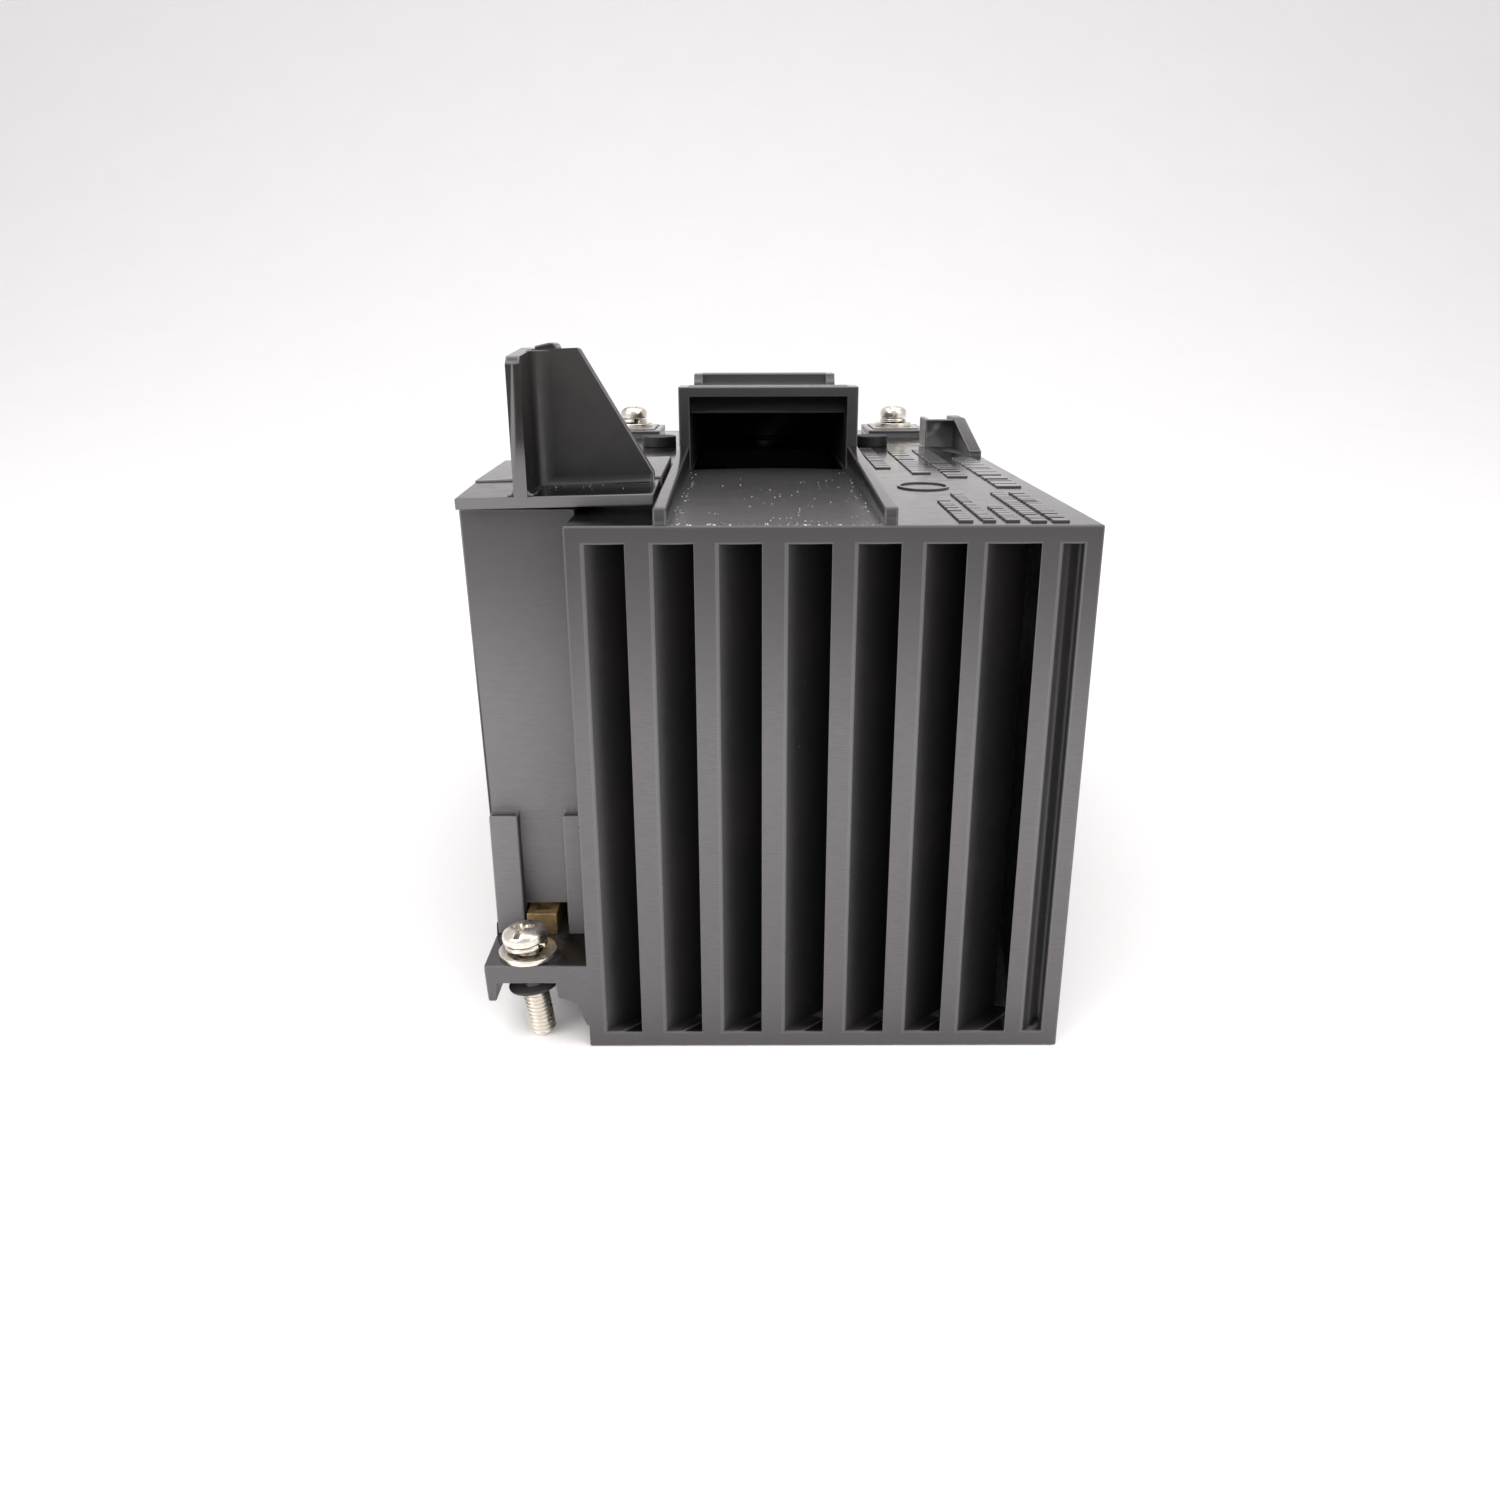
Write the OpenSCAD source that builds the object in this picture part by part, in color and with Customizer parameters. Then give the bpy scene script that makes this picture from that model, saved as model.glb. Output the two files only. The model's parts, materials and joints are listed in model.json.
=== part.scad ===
// Panel-mounted power solid state relay in a black moulded housing.
// Frame: X to the right across the slotted end, Y from the slotted end to the rear,
// Z up from the mounting plane. The slotted end faces -Y.

/* [Envelope] */
// Overall width across the control module and the main housing
total_w = 106.2; // [106:0.1:107]
// Height of the top plate above the mounting plane
plate_z = 95.9; // [95.5:0.1:96.5]
// Depth of the main housing, slotted end to rear cover
body_d = 188; // [187:0.5:190]
// Moulded wall thickness
wall = 3.0; // [2.9:0.05:3.2]
// How far the control module stands out from the slotted block
side_w = 19.9; // [19.8:0.1:20]

/* [Louvre] */
// Depth of the slanted blades across the slotted end
louvre_d = 8.9; // [8:0.1:9.5]
// Slant of the blades to the right as they go in, in degrees
louvre_angle = 45; // [40:1:48]
// Height of the openings between the blades
slot_h = 89.8; // [88:0.1:89.8]
// Corner radius of the vents in the rear cover
vent_r = 1; // [0.6:0.1:1.2]

/* [Duct] */
// Outside width of the top trough and its hood
duct_w = 39.1; // [38.5:0.1:39.5]
// Distance from the slotted end to the mouth of the hood
hood_y = 79; // [78:0.5:80]
// Length of the hood
hood_d = 89; // [88:0.5:90]
// Height of the hood's end frames above the mounting plane
hood_z = 113.5; // [113:0.1:114]

/* [Fasteners] */
// Outside radius of the M5 threads of the captive screws
thread_r = 2.46; // [2.44:0.01:2.48]
// Outside radius of the M4 threads of the terminal screws
terminal_thread_r = 1.96; // [1.94:0.01:1.98]
// Radius of the flat washers
washer_r = 5.35; // [5:0.05:5.4]
// Lean of the loose front captive screw, in degrees
screw_lean = 6.5; // [5:0.5:7]

/* [Hidden] */
$fn = 48;

left_x = -total_w / 2;
right_x = total_w / 2;
block_x = left_x + side_w;
washer_overhang = 0.35;
rear_ear_d = 12;
total_d = body_d + rear_ear_d;
mid_y = (total_d - washer_overhang) / 2;
ceiling_z = plate_z - wall;
cover_t = 3;
chamber_end_y = body_d - cover_t;
step_y = 60;
chamber_y = step_y + wall;
floor_z = 3.1;

// Blades between the eight openings: left edge and width of each, across the front face
fin_x = [-23.7, -12.6, -1.65, 9.6, 20.65, 31.15, 43.05];
fin_w = [4.5, 4.0, 4.2, 4.15, 4.0, 3.3, 3.4];
slot_left = concat([block_x + wall], [for (i = [0:6]) fin_x[i] + fin_w[i]]);
slot_right = concat(fin_x, [right_x - wall]);
first_blade_w = 4.2;

axis_x = 0.7;
duct_x0 = axis_x - duct_w / 2;
duct_x1 = axis_x + duct_w / 2;
rail_t = 2.25;
hood_t = 2.5;

terminal_dx = 38.2;
terminal_y = 174;
pad_top = 98.2;
pad_t = 1.4;
platform_z = 97.9;
terminal_x = [axis_x - terminal_dx, axis_x + terminal_dx];

plug_dx = 28.05;
plug_y = 136;
plug_x = [axis_x - plug_dx, axis_x + plug_dx];

ear_top = 16.75;
ear_under = 13.15;
front_ear_x = -44.45;
front_ear_y = 5.0;
rear_ear_x = 37;
cover_screw_x = [-48.3, 48.3];
cover_screw_z = [8, 88];
cover_screw_r = 1.25;
rear_ear_y = body_d + 6.4;
ear_hole_r = 2.9;
washer_t = 1.0;
spring_t = 1.3;
spring_r = 3.95;
spring_bore_r = 2.6;
flat_bore_r = 2.75;
head_r = 4.15;
head_t = 2.7;
neck_r = 1.95;
captive_neck_l = 9.65;
captive_thread_l = 9.85;
retainer_s = -6.4;
retainer_t = 0.6;
retainer_r = 4.7;
stack_t = washer_t + spring_t + 0.1;
lean_gap = washer_r * sin(screw_lean);

// M4 terminal screw: head, spring washer, neck, and the radius of a hole over its crests
terminal_head_r = 3.85;
terminal_head_t = 3.3;
terminal_spring_r = 3.8;
terminal_neck_r = 1.6;
terminal_bore_r = 2.2;
tapped_r = terminal_thread_r + 0.04;

cap_y0 = 12;
cap_seam = 28;
cap_y1 = 57;
cap_x0 = -52.85;
cap_x1 = -19.45;
cap_z = 96.8;
cap_roll = 1.2;
fin_left = -42.85;
fin_right = -40.55;
web_y = 23.8;

case_y0 = 15.3;
case_y1 = 59.9;
case_top = 96.5;
rib_left = -46.25;
rib_right = -38;
contact_x0 = -45.8;
contact_x1 = -40.1;
contact_z1 = 21.1;

sink_x0 = -30;
sink_x1 = 49.6;
sink_y0 = 64;
sink_y1 = 176;
sink_z0 = 60;
sink_z1 = 67;
leg_w = 6;

power_x = axis_x;
power_y = 127.5;

board_x = -47;
board_t = 1.6;

// Everything is laid out from the slotted end, then centred front to rear
module placed() {
  translate([0, -mid_y, 0]) children();
}

// Block between two opposite corners
module block(x0, x1, y0, y1, z0, z1) {
  translate([x0, y0, z0]) cube([x1 - x0, y1 - y0, z1 - z0]);
}

// Outline in Y and Z, extruded from x0 to x1
module along_x(x0, x1) {
  translate([x0, 0, 0]) rotate([90, 0, 90]) linear_extrude(x1 - x0) children();
}

// Outline in X and Z, extruded from y0 to y1
module along_y(y0, y1) {
  translate([0, y1, 0]) rotate([90, 0, 0]) linear_extrude(y1 - y0) children();
}

// Outline in X and Y, extruded from z0 to z1
module along_z(z0, z1) {
  translate([0, 0, z0]) linear_extrude(z1 - z0) children();
}

// Rectangle with round corners, from its lower left corner
module soft_rect(x0, x1, z0, z1, r) {
  translate([x0 + r, z0]) square([x1 - x0 - 2 * r, z1 - z0]);
  translate([x0, z0 + r]) square([x1 - x0, z1 - z0 - 2 * r]);
  for (x = [x0 + r, x1 - r], z = [z0 + r, z1 - r]) translate([x, z]) circle(r, $fn = 32);
}

// Upright cylinder between two heights
module post(x, y, z0, z1, r) {
  translate([x, y, z0]) cylinder(h = z1 - z0, r = r);
}

// Cylinder along Y between y0 and y1
module rod_y(x, z, y0, y1, r) {
  translate([x, y1, z]) rotate([90, 0, 0]) cylinder(h = y1 - y0, r = r);
}

// Cylinder along X between x0 and x1
module rod_x(y, z, x0, x1, r) {
  translate([x0, y, z]) rotate([0, 90, 0]) cylinder(h = x1 - x0, r = r);
}

/* ---------- housing ---------- */

// Ear with its down-turned lip and the gusset that joins it to the block
module front_ear() {
  along_y(0, 12.4) polygon([
    [block_x, ear_top], [-51.65, ear_top], [-51.7, 15.6], [-51.35, 9.55], [-49.85, 9.55],
    [-49.55, ear_under], [-38.95, ear_under], [-38.55, 10.1], [-35.3, 9.05], [-33.6, 4.4],
    [block_x, 4.2]
  ]);
  block(left_x + 1.5, block_x, 12.4, step_y, ear_under, ear_top);
}

// Trough rail whose top climbs towards the hood
module rail(x0) {
  along_x(x0, x0 + rail_t) polygon([
    [0.5, plate_z - 1], [hood_y, plate_z - 1], [hood_y, 101.1], [0.5, 98.7]
  ]);
}

// Raised platform and the boss below it that holds the terminal nut
module terminal_platform(x) {
  block(x - 8.35, x + 8.35, 161, chamber_end_y, plate_z - 1, platform_z);
  post(x, terminal_y, 84, plate_z, 6.5);
}

// Channel-shaped barrier at the right rear edge
module barrier() {
  block(43, 50, 133, 135, plate_z - 1, 102.8);
  block(42.8, 44.2, 133, 145, plate_z - 1, 102.8);
  along_x(50, right_x) polygon([
    [108, plate_z - 1], [145, plate_z - 1], [145, 103.1], [133, 103.1], [108, 97.2]
  ]);
}

// Floor opening below the hood; its front edge bows back between the rails
module throat() {
  along_z(ceiling_z - 1, plate_z + 1) difference() {
    translate([duct_x0 + hood_t + 0.2, hood_y + 1]) square([duct_w - 2 * hood_t - 0.4, 78]);
    translate([axis_x, hood_y - 45.5]) circle(49.5, $fn = 96);
  }
}

// Slanted air openings; the first blade stands against the left wall
module louvre_openings() {
  run = tan(louvre_angle);
  back = louvre_d + 0.5;
  intersection() {
    block(block_x + wall, right_x - wall, -1, back, floor_z, floor_z + slot_h);
    along_z(floor_z, floor_z + slot_h) {
      for (i = [0:7]) polygon([
        [slot_left[i] - run, -1], [slot_right[i] - run, -1],
        [slot_right[i] + back * run, back], [slot_left[i] + back * run, back]
      ]);
      polygon([
        [slot_left[0], first_blade_w / run], [slot_left[0] + back * run - first_blade_w, back],
        [slot_left[0], back]
      ]);
    }
  }
}

module main_housing() {
  color("dimgray") placed() difference() {
    union() {
      difference() {
        union() {
          block(block_x, right_x, 0, chamber_end_y, 0, plate_z);
          block(left_x, block_x + 1, step_y, chamber_end_y, 0, plate_z);
          front_ear();
        }
        louvre_openings();
        block(block_x + wall, right_x - wall, louvre_d, chamber_y + 1, floor_z, ceiling_z);
        block(left_x + wall, right_x - wall, chamber_y, body_d, -1, ceiling_z);
        block(-47, -37, step_y - 1, chamber_y + 1, 69, 76);
      }
      rail(duct_x0);
      rail(duct_x1 - rail_t);
      for (x = terminal_x) terminal_platform(x);
      barrier();
      for (x = plug_x) post(x, plug_y, sink_z1, plate_z - 1, 5);
      for (x = cover_screw_x, z = cover_screw_z) rod_y(x, z, 177, chamber_end_y, 3.5);
    }
    throat();
    post(front_ear_x, front_ear_y, ear_under - 1, ear_top + 1, ear_hole_r);
    for (x = terminal_x) {
      block(x - 6.6, x + 6.6, 165, chamber_end_y - 1.2, pad_top - pad_t, platform_z + 1);
      block(x - 4.1, x + 4.1, terminal_y - 4.1, terminal_y + 4.1, 92.6, pad_top);
      post(x, terminal_y, 86, 93, terminal_bore_r);
      block(x - 3.2, x + 3.2, 181.8, 183.6, 80, pad_top);
    }
    for (x = plug_x) {
      post(x, plug_y, 90.9, plate_z + 1, 3.5);
      post(x, plug_y, sink_z1 - 1, 91, 2.2);
    }
    for (x = cover_screw_x, z = cover_screw_z) rod_y(x, z, 178, body_d, cover_screw_r + 0.05);
    for (y = [80, 160], z = [18, 56]) rod_x(y, z, left_x + 0.8, left_x + wall + 1, 1.25);
  }
}

// Hood over the air outlet: raised end frames with a lower roof between them
module duct_hood() {
  color("dimgray") placed() {
    y1 = hood_y + hood_d;
    for (x = [duct_x0, duct_x1 - hood_t])
      along_x(x, x + hood_t) polygon([
        [hood_y, plate_z], [y1, plate_z], [y1, hood_z], [y1 - 10, hood_z],
        [y1 - 13, 109.5], [hood_y + 13, 109.5], [hood_y + 9.7, hood_z], [hood_y, hood_z]
      ]);
    block(duct_x0 + 1, duct_x1 - 1, hood_y, hood_y + 9.7, hood_z - 2.1, hood_z);
    block(duct_x0 + 1, duct_x1 - 1, hood_y + 7.6, y1 - 7, 107.5, 109.5);
    block(duct_x0 + 1, duct_x1 - 1, hood_y + 7.6, hood_y + 9.7, 107.5, hood_z);
    block(duct_x0 + 1, duct_x1 - 1, y1 - 9, y1 - 7, 107.5, hood_z);
    block(duct_x0 + 1, duct_x1 - 1, y1 - 9, y1, hood_z - 2.1, hood_z);
    block(duct_x0 + 1, duct_x1 - 1, y1 - 2.5, y1, plate_z, hood_z);
  }
}

/* ---------- control module ---------- */

module control_module_case() {
  color("dimgray") placed() difference() {
    union() {
      along_y(case_y0, case_y1) polygon([
        [-51.5, ear_top], [block_x - 0.1, ear_top], [block_x - 0.1, case_top], [left_x, case_top]
      ]);
      block(-51.5, rib_left, 12.3, case_y0 + 0.1, ear_top, 41);
      block(rib_right, block_x - 0.1, 12.3, case_y0 + 0.1, ear_top, 41);
    }
    block(-50, -35.6, case_y0 + 2.2, case_y1 - 2.2, ear_top + 2.3, case_top + 1);
    block(rib_left, contact_x1 + 1.5, case_y0 - 0.5, case_y0 + 9, ear_top - 1, contact_z1 + 0.7);
    block(-47, -37, 50, case_y1 + 1, 69, 76);
  }
}

// A cap leans slightly up towards the duct
module cap_leaned() {
  translate([cap_x0, 0, cap_z]) rotate([0, -cap_roll, 0]) translate([-cap_x0, 0, -cap_z]) children();
}

// Quarter-round fill in the corner at the origin, open towards +X and +Y
module corner_fill(r) {
  difference() {
    translate([-0.3, -0.3]) square(r + 0.3);
    translate([r, r]) circle(r);
  }
}

// Front cap with its upright fin and the sloping web beside it
module front_cap() {
  color("dimgray") placed() {
    cap_leaned() {
      along_x(cap_x0, cap_x1) polygon([
        [cap_y0, cap_z], [cap_seam, cap_z], [cap_seam, cap_z + 2.6], [cap_y0, cap_z + 1.9]
      ]);
      block(-49.6, -36, case_y0 + 2.6, cap_seam, cap_z - 3, cap_z + 1);
      along_x(fin_right, -20.6) translate([web_y, cap_z + 2.4]) mirror([1, 0]) corner_fill(1.5);
      along_y(cap_y0 + 0.2, cap_seam) translate([fin_left, cap_z + 2.2]) mirror([1, 0]) corner_fill(1.1);
      along_y(cap_y0 + 0.2, web_y) translate([fin_right, cap_z + 2.3]) corner_fill(1.1);
    }
    along_x(fin_left, fin_right) polygon([
      [cap_y0, 98], [cap_seam, 98], [cap_seam, 122.4], [cap_y0 + 1, 121.3], [cap_y0, 120.4]
    ]);
    along_y(web_y, web_y + 2.4) polygon([
      [-41.5, 98.5], [-20.2, 98.8], [-20.2, 101.6], [-32.4, 122.4], [-41.5, 122.1]
    ]);
    along_z(98.8, 122) translate([fin_right, web_y]) mirror([0, 1]) corner_fill(3);
  }
}

// Rear cap with the spine that continues the front cap's fin
module rear_cap() {
  color("dimgray") placed() {
    cap_leaned() {
      along_x(cap_x0, cap_x1 + 0.3) polygon([
        [cap_seam + 0.4, cap_z], [cap_y1, cap_z], [cap_y1, cap_z + 3.6],
        [cap_seam + 0.4, cap_z + 2.9]
      ]);
      block(-49.6, -36, cap_seam + 0.4, case_y1 - 3.1, cap_z - 3, cap_z + 1);
    }
    block(-43.4, -40.7, cap_seam + 0.4, 35.5, 98.5, 122);
    along_y(30, 35.5) polygon([
      [-41, 98.5], [-37, 98.5], [-37, 122], [-37.15, 122.6], [-37.6, 123.1], [-38.3, 123.2],
      [-41, 122.6]
    ]);
  }
}

// Brass contact block with a shallow notch across its top
module control_contact_block() {
  color("darkgoldenrod") placed() difference() {
    block(contact_x0, contact_x1, 12.2, 22.5, ear_top, contact_z1);
    block(contact_x0 + 1.5, contact_x1 - 1.6, 14.1, 17.5, contact_z1 - 0.9, contact_z1 + 1);
  }
}

module control_contact_blade() {
  color("darkgoldenrod") placed() {
    block(-43.1, -42.1, 22.5, 27, ear_top + 2.3, 29);
    block(-44.4, -42.1, 23, 27, 28, 29);
  }
}

module control_board() {
  color("darkgreen") placed() block(-46, -44.4, 19, 56, 23, 90);
}

module optocoupler() {
  color("black") placed() {
    block(-43.9, -40.4, 30, 36.4, 60, 69);
    for (y = [29.4, 36.4], z = [61.2, 63.7, 66.2]) block(-44.4, -41.6, y, y + 0.6, z, z + 1);
  }
}

module drive_transformer() {
  color("gold") placed() {
    block(-44.4, -36.4, 38, 52, 40, 53);
    block(-43.4, -37.4, 36.8, 53.2, 42, 51);
  }
}

module input_resistors() {
  color("tan") placed() for (z = [38, 44, 50]) {
    rod_y(-42.5, z, 22, 28.6, 1.25);
    for (y = [21.2, 28.6]) block(-44.4, -42.2, y, y + 0.8, z - 0.3, z + 0.3);
  }
}

// Flat twin lead from the control board to the power module
module gate_harness() {
  color("firebrick") placed() {
    block(-44.4, -42.2, 54, 56, 71, 73.5);
    block(-43.4, -41, 55, 102, 71, 73.5);
    block(-42, power_x - 18, 99.5, 102, 71, 73.5);
  }
}

/* ---------- heat sink and power module ---------- */

module heat_sink() {
  color("silver") placed() difference() {
    union() {
      block(sink_x0, sink_x1, sink_y0, sink_y1, sink_z0, sink_z1);
      block(sink_x0, sink_x0 + leg_w, sink_y0, sink_y1, 2.5, sink_z0 + 1);
      block(sink_x1 - leg_w, sink_x1, sink_y0, sink_y1, 2.5, sink_z0 + 1);
      for (i = [1:5])
        block(fin_x[i] + 1, fin_x[i] + fin_w[i] - 1, sink_y0, sink_y1, 6, sink_z0 + 1);
    }
    for (x = plug_x) post(x, plug_y, 50, sink_z1 + 1, 2.0);
    for (x = [sink_x0 + leg_w / 2, sink_x1 - leg_w / 2], y = [75, 165]) post(x, y, 2, 14, 1.5);
    for (x = [-11, 11], y = [-34, 34]) post(power_x + x, power_y + y, sink_z0 - 1, sink_z1 + 1, 2.0);
  }
}

module thermal_pad() {
  color("lightgray") placed() difference() {
    block(power_x - 18, power_x + 18, power_y - 37.5, power_y + 37.5, sink_z1, sink_z1 + 0.5);
    for (x = [-11, 11], y = [-34, 34]) post(power_x + x, power_y + y, sink_z1 - 1, sink_z1 + 2, 2.2);
  }
}

module module_base() {
  color("peru") placed() difference() {
    block(power_x - 18, power_x + 18, power_y - 37.5, power_y + 37.5, 67.5, 70.5);
    for (x = [-11, 11], y = [-34, 34]) post(power_x + x, power_y + y, 66, 72, 2.2);
  }
}

module module_screws() {
  color("silver") placed() for (x = [-11, 11], y = [-34, 34]) {
    post(power_x + x, power_y + y, 70.5, 72.9, 3.5);
    post(power_x + x, power_y + y, 61, 71, 1.96);
  }
}

module ceramic_insulator() {
  color("white") placed()
    block(power_x - 15, power_x + 15, power_y - 28, power_y + 28, 70.5, 71.5);
}

module copper_pads() {
  color("peru") placed() for (y = [-15, 15])
    block(power_x - 12, power_x + 12, power_y + y - 11, power_y + y + 11, 71.5, 72);
}

module thyristor_chips() {
  color("slategray") placed() for (y = [-15, 15])
    block(power_x - 7.5, power_x + 7.5, power_y + y - 7.5, power_y + y + 7.5, 72, 73);
}

module module_case() {
  color("dimgray") placed() difference() {
    block(power_x - 18, power_x + 18, power_y - 30.4, power_y + 30.4, 70.5, 86);
    block(power_x - 15.8, power_x + 15.8, power_y - 28.2, power_y + 28.2, 70, 87);
    block(power_x - 13, power_x + 13, power_y + 27, power_y + 31, 79.4, 82);
  }
}

module module_lid() {
  color("dimgray") placed() {
    block(power_x - 18, power_x + 18, power_y - 30.4, power_y + 30.4, 86, 88);
    block(power_x - 15.6, power_x + 15.6, power_y - 28, power_y + 28, 84.6, 86.5);
  }
}

// Copper strip from a chip, out of the module and up to a terminal pad
module busbar(side, foot_y) {
  x = terminal_x[side > 0 ? 1 : 0];
  lane = power_x + side * 7;
  color("peru") placed() difference() {
    union() {
      block(lane - 5, lane + 5, foot_y, foot_y + 9, 73, 74.4);
      block(lane - 5, lane + 5, foot_y + 7.6, foot_y + 9, 73, 81.4);
      block(lane - 5, lane + 5, foot_y + 7.6, 172, 80, 81.4);
      block(min(lane, x) - 5, max(lane, x) + 5, 162.5, 172, 80, 81.4);
      block(x - 5, x + 5, 162.5, 183.4, 80, 81.4);
      block(x - 3, x + 3, 182, 183.4, 80, pad_top);
      block(x - 6.4, x + 6.4, 165.2, 183.4, pad_top - pad_t, pad_top);
    }
    post(x, terminal_y, pad_top - pad_t - 1, pad_top + 1, terminal_bore_r);
  }
}

module line_busbar() {
  busbar(-1, power_y - 20);
}

module load_busbar() {
  busbar(1, power_y + 10);
}

module terminal_nuts() {
  color("silver") placed() for (x = terminal_x) difference() {
    block(x - 4, x + 4, terminal_y - 4, terminal_y + 4, 92.6, 96.6);
    post(x, terminal_y, 92, 98, tapped_r);
  }
}

/* ---------- screws and washers, drawn about their own axis from the seat up ---------- */

module flat_washer(bore_r) {
  difference() {
    cylinder(h = washer_t, r = washer_r);
    translate([0, 0, -1]) cylinder(h = washer_t + 2, r = bore_r);
  }
}

// Split lock washer
module spring_washer(r, bore_r) {
  difference() {
    cylinder(h = spring_t, r = r);
    translate([0, 0, -1]) cylinder(h = spring_t + 2, r = bore_r);
    rotate([0, 0, 20]) translate([0, -0.4, -1]) cube([r + 1, 0.8, spring_t + 2]);
  }
}

// Pan head with a cross recess combined with a slot
module pan_head(r, h) {
  half = r * 0.53;
  difference() {
    union() {
      cylinder(h = h - 1.2, r = r);
      translate([0, 0, h - 1.2]) cylinder(h = 1.2, r1 = r, r2 = r * 0.67);
    }
    translate([-0.55, -r, h - 1.1]) cube([1.1, 2 * r, 2]);
    translate([-half, -0.55, h - 1.9]) cube([2 * half, 1.1, 3]);
    translate([-0.55, -half, h - 1.9]) cube([1.1, 2 * half, 3]);
  }
}

// Plain neck below the head, then the thread
module shank(neck_l, thread_l, root_r, crest_r) {
  translate([0, 0, -neck_l - 0.5]) cylinder(h = neck_l + 1, r = root_r);
  translate([0, 0, -neck_l - thread_l]) cylinder(h = thread_l, r = crest_r);
}

module captive_screw() {
  pan_head(head_r, head_t);
  shank(captive_neck_l, captive_thread_l, neck_r, thread_r);
}

module terminal_screw() {
  pan_head(terminal_head_r, terminal_head_t);
  shank(2, 10, terminal_neck_r, terminal_thread_r);
}

module at_terminal(i, lift) {
  placed() translate([terminal_x[i], terminal_y, pad_top + lift]) children();
}

// Axis of the front captive screw, from the ear's top face
module at_front_ear(lift) {
  placed() translate([front_ear_x, front_ear_y, ear_top]) rotate([0, -screw_lean, 0])
    translate([0, 0, lift]) children();
}

module at_rear_ear(lift) {
  placed() translate([rear_ear_x, rear_ear_y, ear_top + lift]) children();
}

module line_terminal_screw() {
  color("silver") at_terminal(0, stack_t) terminal_screw();
}

module line_spring_washer() {
  color("silver") at_terminal(0, washer_t) spring_washer(terminal_spring_r, terminal_bore_r);
}

module line_flat_washer() {
  color("silver") at_terminal(0, 0) flat_washer(terminal_bore_r);
}

module load_terminal_screw() {
  color("silver") at_terminal(1, stack_t) terminal_screw();
}

module load_spring_washer() {
  color("silver") at_terminal(1, washer_t) spring_washer(terminal_spring_r, terminal_bore_r);
}

module load_flat_washer() {
  color("silver") at_terminal(1, 0) flat_washer(terminal_bore_r);
}

module front_captive_screw() {
  color("silver") at_front_ear(stack_t + lean_gap) captive_screw();
}

module front_spring_washer() {
  color("silver") at_front_ear(washer_t + lean_gap) spring_washer(spring_r, spring_bore_r);
}

module front_flat_washer() {
  color("silver") placed() translate([front_ear_x, front_ear_y, ear_top]) flat_washer(flat_bore_r);
}

// Soft washer on the neck, above the thread, that keeps the screw in its ear
module retaining_washer() {
  difference() {
    cylinder(h = retainer_t, r = retainer_r);
    translate([0, 0, -1]) cylinder(h = retainer_t + 2, r = neck_r + 0.03);
  }
}

module front_retaining_washer() {
  color("black") at_front_ear(retainer_s) retaining_washer();
}

module rear_captive_screw() {
  color("silver") at_rear_ear(stack_t + lean_gap) captive_screw();
}

module rear_spring_washer() {
  color("silver") at_rear_ear(washer_t) spring_washer(spring_r, spring_bore_r);
}

module rear_flat_washer() {
  color("silver") at_rear_ear(0) flat_washer(flat_bore_r);
}

module rear_retaining_washer() {
  color("black") at_rear_ear(retainer_s) retaining_washer();
}

/* ---------- rear cover, base and small fasteners ---------- */

module rear_cover() {
  color("dimgray") placed() difference() {
    union() {
      block(left_x, right_x, chamber_end_y, body_d, 0, plate_z);
      block(rear_ear_x - 8, rear_ear_x + 8, body_d - 1, total_d, ear_under, ear_top);
      for (x = [rear_ear_x - 8, rear_ear_x + 5.8])
        along_x(x, x + 2.2) polygon([
          [body_d - 1, 4], [body_d - 1, ear_top], [total_d, ear_top], [total_d, ear_under - 2]
        ]);
    }
    for (i = [0:7]) along_y(chamber_end_y - 1, body_d + 1)
      soft_rect(slot_left[i], slot_right[i], i > 5 ? 22 : 8, 58, vent_r);
    for (x = cover_screw_x, z = cover_screw_z) rod_y(x, z, chamber_end_y - 1, body_d + 1, 1.7);
    post(rear_ear_x, rear_ear_y, ear_under - 1, ear_top + 1, ear_hole_r);
  }
}

module rear_cover_screws() {
  color("silver") placed() for (x = cover_screw_x, z = cover_screw_z) {
    rod_y(x, z, body_d, body_d + 2, 2.9);
    rod_y(x, z, 179, body_d + 1, cover_screw_r);
  }
}

// Plate that closes the underside, fixed into the legs of the heat sink
module base_plate() {
  color("silver") placed() difference() {
    block(left_x + wall + 0.2, right_x - wall - 0.2, chamber_y + 0.3, chamber_end_y - 0.3, 0, 2.5);
    for (x = [sink_x0 + leg_w / 2, sink_x1 - leg_w / 2], y = [75, 165]) {
      post(x, y, -1, 3, 1.7);
      post(x, y, -1, 1.5, 3.2);
    }
  }
}

module base_screws() {
  color("silver") placed() for (x = [sink_x0 + leg_w / 2, sink_x1 - leg_w / 2], y = [75, 165]) {
    post(x, y, 0.2, 1.5, 3.0);
    post(x, y, 1, 11, 1.46);
  }
}

module blanking_plugs() {
  color("black") placed() for (x = plug_x) {
    post(x, plug_y, plate_z, plate_z + 2.7, 4.4);
    post(x, plug_y, 93.4, plate_z + 1, 3.46);
  }
}

module tie_screws() {
  color("silver") placed() for (x = plug_x) {
    post(x, plug_y, 90.9, 93.2, 3.4);
    post(x, plug_y, 61, 92, 1.96);
  }
}

/* ---------- snubber board in the left bay ---------- */

module snubber_board() {
  color("darkgreen") placed() difference() {
    block(board_x, board_x + board_t, 75, 165, 13, 61);
    for (y = [80, 160], z = [18, 56]) rod_x(y, z, board_x - 1, board_x + 3, 1.5);
  }
}

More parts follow.
